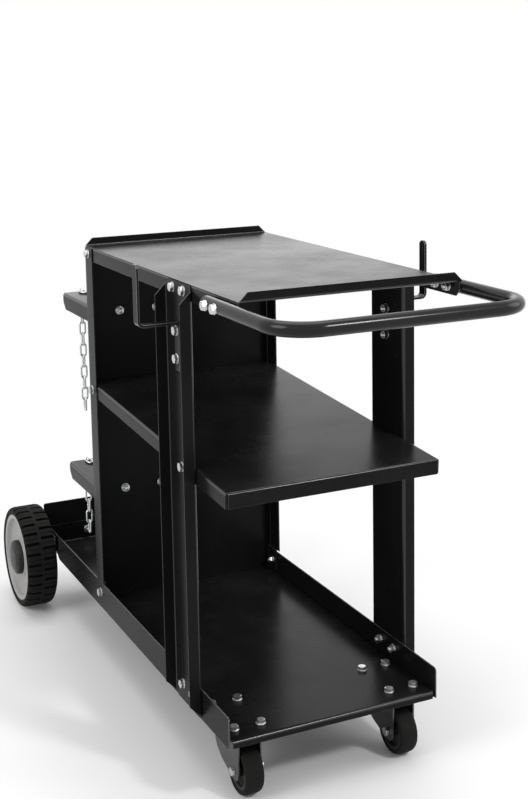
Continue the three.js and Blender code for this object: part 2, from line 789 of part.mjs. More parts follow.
// Swivel casters: bolted plate with kingpin, turning fork, wheel on a hex bolt
function buildCasters() {
  const plateLow = plateTop - plateThick;
  const raceLow = plateLow - 6.3;
  const crownTop = 93.3;
  const crownMid = crownTop - forkSheet / 2;
  const legX = forkInner + forkSheet / 2;
  for (const [name, side] of [["left", -1], ["right", 1]]) {
    const x = side * casterX;
    const pin = [x, casterY, 0];
    const axleCentre = [x, casterY - casterTrail, casterRadius];

    const halfX = 34;
    const halfY = 56;
    const round = 7;
    const plan = outline([
      [x - halfX + round, casterY - halfY],
      [x + halfX - round, casterY - halfY],
      [x + halfX, casterY - halfY + round],
      [x + halfX, casterY + halfY - round],
      [x + halfX - round, casterY + halfY],
      [x - halfX + round, casterY + halfY],
      [x - halfX, casterY + halfY - round],
      [x - halfX, casterY - halfY + round],
    ]);
    const race = [[16, raceLow], [25, raceLow], [30, plateLow + 1], [16, plateLow + 1]];
    const plate = join([alongZ(plan, plateLow, plateTop), turned(race, axisZ, pin, 18)]);
    const plateHoles = [rod(6.3, 40, axisZ, [x, casterY, plateTop], 16)];
    for (const dx of [-casterHoles[0], casterHoles[0]]) {
      for (const dy of [-casterHoles[1], casterHoles[1]]) {
        plateHoles.push(holeZ(x + dx, casterY + dy, plateTop));
      }
    }
    add(`${name}_caster_plate`, cut(plate, plateHoles), zinc);

    const pinShape = [
      [0, 82.5],
      [7.5, 82.5],
      [9.5, 84.5],
      [9.5, crownTop - forkSheet - 0.5],
      [6, crownTop - forkSheet - 0.5],
      [6, plateTop - 0.4],
      [0, plateTop - 0.4],
    ];
    add(`${name}_caster_kingpin`, turned(pinShape, axisZ, pin, 16), zinc);

    const yoke = [[x - legX, 24], [x - legX, crownMid], [x + legX, crownMid], [x + legX, 24]];
    const bent = alongY(bentOutline(yoke, forkSheet, 4), casterY - 56, casterY + 42);
    const profile = outline([
      [casterY - 53, crownTop + 1],
      [casterY + 38, crownTop + 1],
      [casterY + 38, 62],
      [casterY + 31, 51],
      [casterY + 14, 40],
      [casterY - 20, 29],
      [casterY - 29, 26],
      [casterY - 42, 26],
      [casterY - 50, 32],
      [casterY - 53, 44],
    ]);
    const legs = bent.intersect(alongX(profile, x - 25, x + 25));
    const cup = [[14, crownTop - 1], [31, crownTop - 1], [31, 99], [27, 102.6], [14, 102.6]];
    const fork = join([legs, turned(cup, axisZ, pin, 18)]);
    const forkHoles = [
      rod(6.6, 40, axisZ, [x, casterY, crownTop], 16),
      rod(4.2, 60, axisX, axleCentre, 12),
    ];
    add(`${name}_caster_fork`, cut(fork, forkHoles), zinc);

    const core = [
      [4.3, -17],
      [11, -17],
      [11, -8],
      [26, -7],
      [26, -14],
      [31, -14],
      [31, 14],
      [26, 14],
      [26, 7],
      [11, 8],
      [11, 17],
      [4.3, 17],
    ];
    add(`${name}_caster_core`, turned(core, axisX, axleCentre, 18), blackPlastic);

    const band = [
      [31.3, -15],
      [36, -16],
      [38.6, -13.5],
      [casterTread, -7],
      [casterTread, 7],
      [38.6, 13.5],
      [36, 16],
      [31.3, 15],
    ];
    add(`${name}_caster_tyre`, turned(band, axisX, axleCentre, casterSides), rubber);

    const legOuter = forkInner + forkSheet + 0.2;
    const hex = outline(hexagon(13).map(([y, z]) => [axleCentre[1] + y, axleCentre[2] + z]));
    const head = alongX(hex, x - legOuter - 5.5, x - legOuter);
    const shank = rod(4, legOuter * 2 + 10, axisX, [x + 4.5, axleCentre[1], axleCentre[2]], 12);
    add(`${name}_caster_axle_bolt`, join([head, shank]), zinc);
    const nut = alongX(hex, x + legOuter, x + legOuter + 6.5);
    const thread = rod(4.2, 30, axisX, [x + legOuter, axleCentre[1], axleCentre[2]], 12);
    add(`${name}_caster_axle_nut`, cut(nut, [thread]), zinc);
  }
}

buildDeck();
buildRails();
buildStop();
buildMiddleShelf();
buildTopShelf();
buildBackPlate();
buildPosts();
buildHandle();
buildHooks();
buildBrackets();
buildChains();
buildAxle();
buildWheels();
buildCasters();

// The frame's origin is under the middle of the whole cart.
const frontMost = handleFront - handleRadius;
const rearMost = axleY + wheelRadius;
cart.position.y = -(frontMost + rearMost) / 2;
cart.updateMatrixWorld(true);

export default cart;
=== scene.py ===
import json
import math

import bmesh
import bpy
from mathutils import Matrix, Vector


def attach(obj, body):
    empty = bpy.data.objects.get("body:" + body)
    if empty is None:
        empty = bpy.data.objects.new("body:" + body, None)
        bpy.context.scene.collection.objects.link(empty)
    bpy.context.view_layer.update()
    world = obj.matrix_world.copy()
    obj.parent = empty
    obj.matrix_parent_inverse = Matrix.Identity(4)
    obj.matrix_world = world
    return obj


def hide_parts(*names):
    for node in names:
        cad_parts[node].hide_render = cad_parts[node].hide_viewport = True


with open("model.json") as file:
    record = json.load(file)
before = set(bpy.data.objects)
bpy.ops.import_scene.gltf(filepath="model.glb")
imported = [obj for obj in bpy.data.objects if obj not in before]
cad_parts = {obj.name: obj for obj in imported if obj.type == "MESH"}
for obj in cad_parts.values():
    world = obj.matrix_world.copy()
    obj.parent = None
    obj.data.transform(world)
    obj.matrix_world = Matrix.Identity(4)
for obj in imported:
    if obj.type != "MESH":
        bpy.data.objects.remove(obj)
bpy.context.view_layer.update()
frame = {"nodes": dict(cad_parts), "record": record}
nodes = frame["nodes"]
scene = bpy.context.scene
scene.view_settings.view_transform = "Standard"
print("frame loaded:", len(nodes), "nodes")

millimetre = 0.001

# the cart's own measures in millimetres, y from the middle of the top shelf and z from the floor
cartLayout = {
    "shift": -121.5,
    "shelfEdge": 187.0,
    "sheet": 2.0,
    "postFace": 189.2,
    "postBolts": (-147.0, -102.0),
    "postMiddle": -124.5,
    "wingBolt": 332.0,
    "shelfBoltHeight": 798.0,
    "deckBoltHeight": 135.0,
    "midFront": -291.0,
    "midHeight": 513.0,
    "midSlope": math.radians(3.4),
    "midSkirt": 25.0,
    "axle": (668.0, 106.0),
    "casterX": 140.0,
    "casterPin": -202.0,
    "casterTrail": 35.0,
    "casterRadius": 40.0,
}


def at(x, y, z):
    return Vector((x, y + cartLayout["shift"], z)) * millimetre


# camera, fitted to the corners and bolts of the photographed cart
cameraView = {
    "position": (-940.2, -2046.1, 1142.7),
    "yaw": 0.4382,
    "pitch": 0.1455,
    "roll": -0.0174,
    "focal": 1335.5,
    "centre": (264.0, 260.0),
    "image": (528, 799),
    "sensor": 36.0,
    "reach": 60.0,
}


def makeCamera():
    yaw, pitch, roll = (cameraView[key] for key in ("yaw", "pitch", "roll"))
    right = Vector((math.cos(yaw), -math.sin(yaw), 0))
    ahead = Vector((math.sin(yaw), math.cos(yaw), 0))
    up = Vector((0, 0, 1))
    look = ahead * math.cos(pitch) - up * math.sin(pitch)
    rise = ahead * math.sin(pitch) + up * math.cos(pitch)
    tiltRight = right * math.cos(roll) + rise * math.sin(roll)
    tiltUp = rise * math.cos(roll) - right * math.sin(roll)
    turn = Matrix((tiltRight, tiltUp, -look)).transposed().to_4x4()
    data = bpy.data.cameras.new("cartCamera")
    wide, tall = cameraView["image"]
    data.sensor_width = cameraView["sensor"]
    data.lens = cameraView["focal"] * cameraView["sensor"] / tall
    data.shift_x = (wide / 2 - cameraView["centre"][0]) / tall
    data.shift_y = (cameraView["centre"][1] - tall / 2) / tall
    data.clip_end = cameraView["reach"]
    camera = bpy.data.objects.new("cartCamera", data)
    scene.collection.objects.link(camera)
    camera.matrix_world = Matrix.Translation(at(*cameraView["position"])) @ turn
    scene.camera = camera


makeCamera()
print("camera placed")


# small helpers for node trees
def addNode(tree, kind, place, values=None, **settings):
    node = tree.nodes.new(kind)
    node.location = place
    for key, value in settings.items():
        setattr(node, key, value)
    for label, value in (values or {}).items():
        node.inputs[label].default_value = value
    return node


def feed(tree, pairs):
    for source, target in pairs:
        tree.links.new(source, target)


def newGroup(name, inputs, outputs):
    tree = bpy.data.node_groups.new(name, "ShaderNodeTree")
    for label, kind, default in inputs:
        socket = tree.interface.new_socket(label, in_out="INPUT", socket_type=kind)
        socket.default_value = default
    for label, kind in outputs:
        tree.interface.new_socket(label, in_out="OUTPUT", socket_type=kind)
    start = addNode(tree, "NodeGroupInput", (-900, 0))
    end = addNode(tree, "NodeGroupOutput", (700, 0))
    return tree, start, end


def grainGroup():
    # even surface grain: a value for colour and roughness, a height for bump
    tree, start, end = newGroup(
        "surfaceGrain",
        [("Scale", "NodeSocketFloat", 400.0), ("Blotch Scale", "NodeSocketFloat", 14.0)],
        [(label, "NodeSocketFloat") for label in ("Grain", "Blotch", "Height")],
    )
    place = addNode(tree, "ShaderNodeTexCoord", (-900, -220))
    fine = addNode(tree, "ShaderNodeTexNoise", (-600, 120), {"Detail": 3, "Roughness": 0.55})
    broad = addNode(tree, "ShaderNodeTexNoise", (-600, -180), {"Detail": 5, "Roughness": 0.6})
    cells = addNode(
        tree, "ShaderNodeTexVoronoi", (-600, -480), {"Smoothness": 0.8}, feature="SMOOTH_F1",
    )
    blend = addNode(tree, "ShaderNodeMath", (-200, -260), operation="ADD")
    feed(tree, [
        (place.outputs["Object"], fine.inputs["Vector"]),
        (place.outputs["Object"], broad.inputs["Vector"]),
        (place.outputs["Object"], cells.inputs["Vector"]),
        (start.outputs["Scale"], fine.inputs["Scale"]),
        (start.outputs["Scale"], cells.inputs["Scale"]),
        (start.outputs["Blotch Scale"], broad.inputs["Scale"]),
        (fine.outputs["Fac"], blend.inputs[0]),
        (cells.outputs["Distance"], blend.inputs[1]),
        (fine.outputs["Fac"], end.inputs["Grain"]),
        (broad.outputs["Fac"], end.inputs["Blotch"]),
        (blend.outputs[0], end.inputs["Height"]),
    ])
    return tree


def dustGroup():
    # thin dust that lies on faces turned up, thicker in patches
    tree, start, end = newGroup(
        "settledDust",
        [("Amount", "NodeSocketFloat", 0.2), ("Patch Scale", "NodeSocketFloat", 9.0)],
        [("Mask", "NodeSocketFloat")],
    )
    place = addNode(tree, "ShaderNodeTexCoord", (-900, -260))
    face = addNode(tree, "ShaderNodeNewGeometry", (-900, 240))
    parts = addNode(tree, "ShaderNodeSeparateXYZ", (-700, 240))
    rise = addNode(tree, "ShaderNodeMapRange", (-500, 240), {"From Min": 0.2})
    patch = addNode(tree, "ShaderNodeTexNoise", (-600, -160), {"Detail": 6, "Roughness": 0.68})
    spread = addNode(tree, "ShaderNodeMapRange", (-300, -160), {"From Min": 0.38, "From Max": 0.72})
    both = addNode(tree, "ShaderNodeMath", (0, 60), operation="MULTIPLY")
    scaled = addNode(tree, "ShaderNodeMath", (240, 60), operation="MULTIPLY", use_clamp=True)
    feed(tree, [
        (face.outputs["Normal"], parts.inputs[0]),
        (parts.outputs["Z"], rise.inputs["Value"]),
        (place.outputs["Object"], patch.inputs["Vector"]),
        (start.outputs["Patch Scale"], patch.inputs["Scale"]),
        (patch.outputs["Fac"], spread.inputs["Value"]),
        (rise.outputs["Result"], both.inputs[0]),
        (spread.outputs["Result"], both.inputs[1]),
        (both.outputs[0], scaled.inputs[0]),
        (start.outputs["Amount"], scaled.inputs[1]),
        (scaled.outputs[0], end.inputs["Mask"]),
    ])
    return tree


def rubGroup():
    # rubbed edges, broken up by noise
    tree, start, end = newGroup(
        "edgeRub",
        [("Amount", "NodeSocketFloat", 0.5), ("Break Scale", "NodeSocketFloat", 60.0)],
        [("Mask", "NodeSocketFloat")],
    )
    place = addNode(tree, "ShaderNodeTexCoord", (-900, -260))
    face = addNode(tree, "ShaderNodeNewGeometry", (-900, 240))
    edge = addNode(tree, "ShaderNodeMapRange", (-500, 240), {"From Min": 0.53, "From Max": 0.62})
    chips = addNode(tree, "ShaderNodeTexNoise", (-600, -160), {"Detail": 4})
    spread = addNode(tree, "ShaderNodeMapRange", (-300, -160), {"From Min": 0.45, "From Max": 0.66})
    both = addNode(tree, "ShaderNodeMath", (0, 60), operation="MULTIPLY")
    scaled = addNode(tree, "ShaderNodeMath", (240, 60), operation="MULTIPLY", use_clamp=True)
    feed(tree, [
        (face.outputs["Pointiness"], edge.inputs["Value"]),
        (place.outputs["Object"], chips.inputs["Vector"]),
        (start.outputs["Break Scale"], chips.inputs["Scale"]),
        (chips.outputs["Fac"], spread.inputs["Value"]),
        (edge.outputs["Result"], both.inputs[0]),
        (spread.outputs["Result"], both.inputs[1]),
        (both.outputs[0], scaled.inputs[0]),
        (start.outputs["Amount"], scaled.inputs[1]),
        (scaled.outputs[0], end.inputs["Mask"]),
    ])
    return tree


def scuffGroup():
    # fine straight handling scratches
    tree, start, end = newGroup(
        "handlingScuffs",
        [("Amount", "NodeSocketFloat", 0.2), ("Scale", "NodeSocketFloat", 12.0)],
        [("Mask", "NodeSocketFloat")],
    )
    place = addNode(tree, "ShaderNodeTexCoord", (-1100, -100))
    sway = addNode(tree, "ShaderNodeTexNoise", (-900, -300), {"Scale": 7})
    bent = addNode(tree, "ShaderNodeMixRGB", (-700, -160), {"Fac": 0.04}, blend_type="LINEAR_LIGHT")
    stretch = addNode(
        tree, "ShaderNodeMapping", (-500, -160),
        {"Rotation": (0.4, 0.7, 0.5), "Scale": (1.0, 34.0, 30.0)},
    )
    lines = addNode(tree, "ShaderNodeTexNoise", (-300, -160), {"Detail": 2})
    thin = addNode(tree, "ShaderNodeMapRange", (-100, -160), {"From Min": 0.68, "From Max": 0.76})
    scaled = addNode(tree, "ShaderNodeMath", (240, 60), operation="MULTIPLY", use_clamp=True)
    feed(tree, [
        (place.outputs["Object"], sway.inputs["Vector"]),
        (place.outputs["Object"], bent.inputs["Color1"]),
        (sway.outputs["Color"], bent.inputs["Color2"]),
        (bent.outputs["Color"], stretch.inputs["Vector"]),
        (stretch.outputs["Vector"], lines.inputs["Vector"]),
        (start.outputs["Scale"], lines.inputs["Scale"]),
        (lines.outputs["Fac"], thin.inputs["Value"]),
        (thin.outputs["Result"], scaled.inputs[0]),
        (start.outputs["Amount"], scaled.inputs[1]),
        (scaled.outputs[0], end.inputs["Mask"]),
    ])
    return tree


groups = {
    "grain": grainGroup(),
    "dust": dustGroup(),
    "rub": rubGroup(),
    "scuff": scuffGroup(),
}
print("surface groups built")


finishes = {
    "blackCoat": {
        "dark": (0.0070, 0.0071, 0.0075), "light": (0.0115, 0.0116, 0.0121),
        "dustColour": (0.16, 0.155, 0.145), "rubColour": (0.10, 0.10, 0.10),
        "rough": (0.22, 0.30), "dustRough": 0.62, "metal": 0.0, "specular": 0.06,
        "grain": 520.0, "blotch": 9.0, "dust": 0.035, "rub": 0.05, "scuff": 0.04,
        "bump": 0.10, "bumpReach": 0.00012,
    },
    "zincPlate": {
        "dark": (0.50, 0.51, 0.53), "light": (0.74, 0.75, 0.76),
        "dustColour": (0.30, 0.28, 0.25), "rubColour": (0.85, 0.85, 0.84),
        "rough": (0.24, 0.46), "dustRough": 0.6, "metal": 1.0, "specular": 0.5,
        "grain": 900.0, "blotch": 60.0, "dust": 0.12, "rub": 0.4, "scuff": 0.16,
        "bump": 0.12, "bumpReach": 0.00008,
    },
    "casterSteel": {
        "dark": (0.060, 0.061, 0.063), "light": (0.135, 0.137, 0.140),
        "dustColour": (0.22, 0.205, 0.185), "rubColour": (0.70, 0.70, 0.69),
        "rough": (0.30, 0.52), "dustRough": 0.6, "metal": 1.0, "specular": 0.5,
        "grain": 900.0, "blotch": 55.0, "dust": 0.10, "rub": 0.5, "scuff": 0.18,
        "bump": 0.14, "bumpReach": 0.0001,
    },
    "tyreRubber": {
        "dark": (0.005, 0.005, 0.0048), "light": (0.0115, 0.0113, 0.0108),
        "dustColour": (0.10, 0.094, 0.085), "rubColour": (0.045, 0.044, 0.042),
        "rough": (0.62, 0.86), "dustRough": 0.9, "metal": 0.0, "specular": 0.12,
        "grain": 700.0, "blotch": 40.0, "dust": 0.12, "rub": 0.45, "scuff": 0.08,
        "bump": 0.30, "bumpReach": 0.0002,
    },
    "discPlastic": {
        "dark": (0.30, 0.297, 0.290), "light": (0.38, 0.376, 0.368),
        "dustColour": (0.36, 0.34, 0.31), "rubColour": (0.68, 0.68, 0.67),
        "rough": (0.34, 0.50), "dustRough": 0.7, "metal": 0.0, "specular": 0.5,
        "grain": 800.0, "blotch": 22.0, "dust": 0.15, "rub": 0.25, "scuff": 0.12,
        "bump": 0.14, "bumpReach": 0.0001,
    },
    "capPlastic": {
        "dark": (0.008, 0.008, 0.008), "light": (0.017, 0.017, 0.0165),
        "dustColour": (0.15, 0.145, 0.135), "rubColour": (0.06, 0.06, 0.06),
        "rough": (0.36, 0.56), "dustRough": 0.75, "metal": 0.0, "specular": 0.3,
        "grain": 1100.0, "blotch": 45.0, "dust": 0.10, "rub": 0.35, "scuff": 0.10,
        "bump": 0.22, "bumpReach": 0.00012,
    },
}
# the same coat: on the sheet's bevelled edges a lighter base colour as a painted highlight, with
# real higher gloss; shinier on its bends and glossier on the tube
finishes["coatEdge"] = {
    **finishes["blackCoat"],
    "dark": (0.11, 0.11, 0.112), "light": (0.22, 0.22, 0.223), "specular": 0.5,
}
finishes["bendCoat"] = {**finishes["blackCoat"], "rough": (0.20, 0.27), "specular": 0.5}
finishes["tubeCoat"] = {**finishes["blackCoat"], "rough": (0.16, 0.22), "specular": 0.24}


def makeFinish(name):
    look = finishes[name]
    material = bpy.data.materials.new(name)
    material.use_nodes = True
    tree = material.node_tree
    shader = tree.nodes["Principled BSDF"]
    shader.inputs["Metallic"].default_value = look["metal"]
    shader.inputs["Specular IOR Level"].default_value = look["specular"]

    def place(key, spot, values):
        return addNode(tree, "ShaderNodeGroup", spot, values, node_tree=groups[key])

    rubColour = (*look["rubColour"], 1)
    smooth, rough = look["rough"]
    grain = place("grain", (-1300, 200), {"Scale": look["grain"], "Blotch Scale": look["blotch"]})
    dust = place("dust", (-1300, -60), {"Amount": look["dust"]})
    rub = place("rub", (-1300, -260), {"Amount": look["rub"]})
    scuff = place("scuff", (-1300, -460), {"Amount": look["scuff"]})
    base = addNode(
        tree, "ShaderNodeMixRGB", (-900, 260),
        {"Color1": (*look["dark"], 1), "Color2": (*look["light"], 1)},
    )
    worn = addNode(tree, "ShaderNodeMixRGB", (-680, 200), {"Color2": rubColour})
    scratched = addNode(tree, "ShaderNodeMixRGB", (-460, 140), {"Color2": rubColour})
    dusted = addNode(tree, "ShaderNodeMixRGB", (-240, 80), {"Color2": (*look["dustColour"], 1)})
    sheen = addNode(
        tree, "ShaderNodeMapRange", (-680, -160),
        {"From Min": 0.3, "From Max": 0.7, "To Min": smooth, "To Max": rough},
    )
    dull = addNode(tree, "ShaderNodeMix", (-360, -160), {"B": look["dustRough"]})
    bump = addNode(
        tree, "ShaderNodeBump", (-240, -380),
        {"Strength": look["bump"], "Distance": look["bumpReach"]},
    )
    feed(tree, [
        (grain.outputs["Blotch"], base.inputs["Fac"]),
        (base.outputs[0], worn.inputs["Color1"]),
        (rub.outputs["Mask"], worn.inputs["Fac"]),
        (worn.outputs[0], scratched.inputs["Color1"]),
        (scuff.outputs["Mask"], scratched.inputs["Fac"]),
        (scratched.outputs[0], dusted.inputs["Color1"]),
        (dust.outputs["Mask"], dusted.inputs["Fac"]),
        (dusted.outputs[0], shader.inputs["Base Color"]),
        (grain.outputs["Blotch"], sheen.inputs["Value"]),
        (sheen.outputs["Result"], dull.inputs["A"]),
        (dust.outputs["Mask"], dull.inputs["Factor"]),
        (dull.outputs["Result"], shader.inputs["Roughness"]),
        (grain.outputs["Height"], bump.inputs["Height"]),
        (bump.outputs["Normal"], shader.inputs["Normal"]),
    ])
    return material


materials = {name: makeFinish(name) for name in finishes}
slotFinish = {
    "black_coat": "blackCoat",
    "zinc": "zincPlate",
    "rubber": "tyreRubber",
    "wheel_disc": "discPlastic",
    "black_plastic": "capPlastic",
}
print("finishes built:", len(materials))


edgeRounding = {
    "weld": 0.00002, "width": 0.0005, "segments": 2, "angle": math.radians(40),
    "sharp": math.radians(42), "evenness": 100,
}
# a facet of a bend stands less square than straight, and covers less than area, in square metres
bendFind = {"straight": 0.97, "area": 0.0015}


def newShapeTree(name):
    tree = bpy.data.node_groups.new(name, "GeometryNodeTree")
    for way in ("INPUT", "OUTPUT"):
        tree.interface.new_socket("Geometry", in_out=way, socket_type="NodeSocketGeometry")
    start = addNode(tree, "NodeGroupInput", (-1200, 200))
    end = addNode(tree, "NodeGroupOutput", (600, 200))
    return tree, start, end


def compare(tree, place, operation, limit):
    return addNode(
        tree, "FunctionNodeCompare", place, {"B": limit}, data_type="FLOAT", operation=operation,
    )


def smoothingTree():
    # rounds the shading of shallow steps and keeps real corners sharp
    tree, start, end = newShapeTree("shadeByAngle")
    faces = addNode(tree, "GeometryNodeSetShadeSmooth", (-200, 0), domain="FACE")
    edges = addNode(
        tree, "GeometryNodeSetShadeSmooth", (200, 0), {"Shade Smooth": False}, domain="EDGE",
    )
    angle = addNode(tree, "GeometryNodeInputMeshEdgeAngle", (-400, -260))
    steep = compare(tree, (-100, -260), "GREATER_THAN", edgeRounding["sharp"])
    feed(tree, [
        (start.outputs[0], faces.inputs["Geometry"]),
        (faces.outputs[0], edges.inputs["Geometry"]),
        (angle.outputs["Unsigned Angle"], steep.inputs["A"]),
        (steep.outputs["Result"], edges.inputs["Selection"]),
        (edges.outputs[0], end.inputs[0]),
    ])
    return tree


def bendTree():
    # narrow slanted facets of the sheet are its bends
    tree, start, end = newShapeTree("shinyBends")
    way = addNode(tree, "GeometryNodeInputNormal", (-1200, -100))
    plain = addNode(tree, "ShaderNodeVectorMath", (-1000, -100), operation="ABSOLUTE")
    parts = addNode(tree, "ShaderNodeSeparateXYZ", (-800, -100))
    level = addNode(tree, "ShaderNodeMath", (-600, -60), operation="MAXIMUM")
    square = addNode(tree, "ShaderNodeMath", (-400, -100), operation="MAXIMUM")
    slanted = compare(tree, (-200, -100), "LESS_THAN", bendFind["straight"])
    area = addNode(tree, "GeometryNodeInputMeshFaceArea", (-400, -320))
    narrow = compare(tree, (-200, -320), "LESS_THAN", bendFind["area"])
    both = addNode(tree, "FunctionNodeBooleanMath", (0, -200), operation="AND")
    shiny = addNode(
        tree, "GeometryNodeSetMaterial", (300, 200), {"Material": materials["bendCoat"]},
    )
    feed(tree, [
        (start.outputs[0], shiny.inputs["Geometry"]),
        (way.outputs["Normal"], plain.inputs[0]),
        (plain.outputs["Vector"], parts.inputs["Vector"]),
        (parts.outputs["X"], level.inputs[0]),
        (parts.outputs["Y"], level.inputs[1]),
        (level.outputs[0], square.inputs[0]),
        (parts.outputs["Z"], square.inputs[1]),
        (square.outputs[0], slanted.inputs["A"]),
        (area.outputs["Area"], narrow.inputs["A"]),
        (slanted.outputs["Result"], both.inputs[0]),
        (narrow.outputs["Result"], both.inputs[1]),
        (both.outputs[0], shiny.inputs["Selection"]),
        (shiny.outputs[0], end.inputs[0]),
    ])
    return tree


shadeTree = smoothingTree()
shinyBends = bendTree()


def dressNode(item, finish):
    item.data.materials.clear()
    item.data.materials.append(materials[finish])
    weld = item.modifiers.new("weldSeams", "WELD")
    weld.merge_threshold = edgeRounding["weld"]
    if finish == "blackCoat":
        item.modifiers.new("shinyBends", "NODES").node_group = shinyBends
    bevel = item.modifiers.new("softEdges", "BEVEL")
    bevel.width = edgeRounding["width"]
    bevel.segments = edgeRounding["segments"]
    bevel.limit_method = "ANGLE"
    bevel.angle_limit = edgeRounding["angle"]
    bevel.use_clamp_overlap = True
    # the bevelled edge faces take the edge coat, whose lighter base colour is a painted highlight
    # along the edges
    if finish == "blackCoat":
        item.data.materials.append(materials["coatEdge"])
        bevel.material = 1
    item.modifiers.new("shadeByAngle", "NODES").node_group = shadeTree
    even = item.modifiers.new("evenNormals", "WEIGHTED_NORMAL")
    even.weight = edgeRounding["evenness"]
    even.keep_sharp = True


def nodeFinish(part):
    plainSteel = part["node"].endswith(("caster_plate", "caster_fork", "caster_kingpin"))
    return "casterSteel" if plainSteel else slotFinish[part["material_slot"]]


for part in frame["record"]["subparts"]:
    dressNode(nodes[part["node"]], nodeFinish(part))
print("CAD nodes dressed")


finishSlot = {finish: slot for slot, finish in slotFinish.items()}
finishSlot["casterSteel"] = "zinc"
finishSlot["tubeCoat"] = "black_coat"


def makePiece(name, build, finish, body, replaced=()):
    mesh = bpy.data.meshes.new(name)
    build.normal_update()
    bmesh.ops.recalc_face_normals(build, faces=build.faces)
    build.to_mesh(mesh)
    build.free()
    mesh.materials.append(materials[finish])
    piece = bpy.data.objects.new(name, mesh)
    scene.collection.objects.link(piece)
    piece.modifiers.new("shadeByAngle", "NODES").node_group = shadeTree
    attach(piece, body)
    if replaced:
        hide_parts(*replaced)
    return piece


def facing(direction, place):
    turn = Vector((0, 0, 1)).rotation_difference(Vector(direction)).to_matrix().to_4x4()
    return Matrix.Translation(place) @ turn


def addRings(build, rings, matrix, closed=False):
    # joins rings of points with quads; a ring of one point closes to a tip
    made = [[build.verts.new(matrix @ Vector(point)) for point in ring] for ring in rings]
    pairs = list(zip(made, made[1:]))
    if closed:
        pairs.append((made[-1], made[0]))
    for low, high in pairs:
        count = max(len(low), len(high))
        for i in range(count):
            j = (i + 1) % count
            if len(low) == 1:
                build.faces.new((low[0], high[j], high[i]))
            elif len(high) == 1:
                build.faces.new((low[i], low[j], high[0]))
            else:
                build.faces.new((low[i], low[j], high[j], high[i]))


def polar(radius, angle, height):
    spot = (radius * math.cos(angle), radius * math.sin(angle), height)
    return tuple(value * millimetre for value in spot)


def circle(radius, height, count):
    if radius <= 0:
        return [polar(0, 0, height)]
    return [polar(radius, 2 * math.pi * i / count, height) for i in range(count)]


def addTurned(build, profile, matrix, count, closed=True):
    addRings(build, [circle(r, h, count) for r, h in profile], matrix, closed)


# bolts, washers and nuts
boltShape = {
    "flats": 13.0, "head": 5.3, "nut": 6.5, "sides": 48,
    "rim": 0.985, "chamfer": 0.6, "crown": 0.97, "dish": 0.55, "dishDepth": (0.35, 0.4),
    "washer": 8.2, "washerThick": 1.5, "washerHole": 4.4, "washerEase": 0.3, "washerSides": 40,
    "shank": 4.0, "mouth": (4.9, 0.6), "turns": 3, "pitch": 1.25, "thread": (0.45, 0.55),
    "threadSink": 0.4, "tip": 1.0, "end": 3.4,
}


def hexRadius(angle):
    step = (angle + math.pi / 6) % (math.pi / 3) - math.pi / 6
    return boltShape["flats"] / 2 / math.cos(step)


def hexRing(height, cut):
    count = boltShape["sides"]
    rim = boltShape["flats"] / 2 * boltShape["rim"]
    ring = []
    for i in range(count):
        angle = 2 * math.pi * i / count
        radius = hexRadius(angle)
        drop = max(0.0, radius - rim) * boltShape["chamfer"] * cut
        ring.append(polar(radius, angle, height - drop))
    return ring


def addWasher(build, matrix):
    hole, outer, thick, ease = (
        boltShape[key] for key in ("washerHole", "washer", "washerThick", "washerEase")
    )
    profile = [(hole, 0), (outer, 0), (outer, thick - ease), (outer - ease, thick), (hole, thick)]
    addTurned(build, profile, matrix, boltShape["washerSides"])


def hexBlock(tall):
    # rings of a hexagon that stands on a washer, up to its flat top
    low = boltShape["washerThick"]
    rim = boltShape["flats"] / 2 * boltShape["rim"]
    crown = circle(rim * boltShape["crown"], low + tall, boltShape["sides"])
    return [circle(0, low, 1), hexRing(low, 0), hexRing(low + tall, 1), crown]


def addHead(build, matrix):
    top = boltShape["washerThick"] + boltShape["head"]
    rim = boltShape["flats"] / 2 * boltShape["rim"]
    rise, middle = boltShape["dishDepth"]
    dish = circle(rim * boltShape["dish"], top - rise, boltShape["sides"])
    addRings(build, [*hexBlock(boltShape["head"]), dish, circle(0, top - middle, 1)], matrix)


def addNut(build, matrix):
    top = boltShape["washerThick"] + boltShape["nut"]
    count, shank = boltShape["sides"], boltShape["shank"]
    mouth, mouthDepth = boltShape["mouth"]
    root, crest = boltShape["thread"]
    rings = hexBlock(boltShape["nut"])
    rings += [circle(mouth, top, count), circle(shank, top - mouthDepth, count)]
    for k in range(boltShape["turns"]):
        turnBase = top - boltShape["threadSink"] + k * boltShape["pitch"]
        rings += [circle(shank - root, turnBase, count), circle(shank, turnBase + crest, count)]
    end = top + boltShape["end"]
    rings += [circle(shank - boltShape["tip"], end, count), circle(0, end, 1)]
    addRings(build, rings, matrix)


def midShelfBolt(y):
    slope = cartLayout["midSlope"]
    along = (y - cartLayout["midFront"]) / math.cos(slope)
    drop = -cartLayout["midSkirt"] / 2
    realY = cartLayout["midFront"] + along * math.cos(slope) - drop * math.sin(slope)
    realZ = cartLayout["midHeight"] + along * math.sin(slope) + drop * math.cos(slope)
    return realY, realZ


def addBolt(build, headPlace, headWay, nutPlace):
    way = Vector(headWay)
    addWasher(build, facing(way, at(*headPlace)))
    addHead(build, facing(way, at(*headPlace)))
    addWasher(build, facing(-way, at(*nutPlace)))
    addNut(build, facing(-way, at(*nutPlace)))


# where the bolts sit: the faces under their washers, their rows and columns
boltPlaces = {
    "deckInside": 182.6,
    "hookFace": 193.4, "hookBack": 187.2, "hookHeights": (687.0, 732.0),
    "tubeFace": 209.0, "tubeRows": (-282.0, -316.0),
    "lugFace": 190.2, "lugRows": (646.0, 676.0),
    "cradleFace": 355.2, "plateFront": 350.0, "cradleDrop": 13.0,
    "cradleColumns": (-125.0, -50.0, 50.0, 125.0),
    "stopFace": 694.2, "stopFront": 690.0, "stopColumns": (-100.0, 0.0, 100.0),
    "casterAcross": (-23.0, 23.0), "casterAlong": (-45.0, 45.0),
    "deckTop": 115.0, "casterUnder": 109.8,
}
chainTops = {"upper": 695.0, "lower": 344.0}


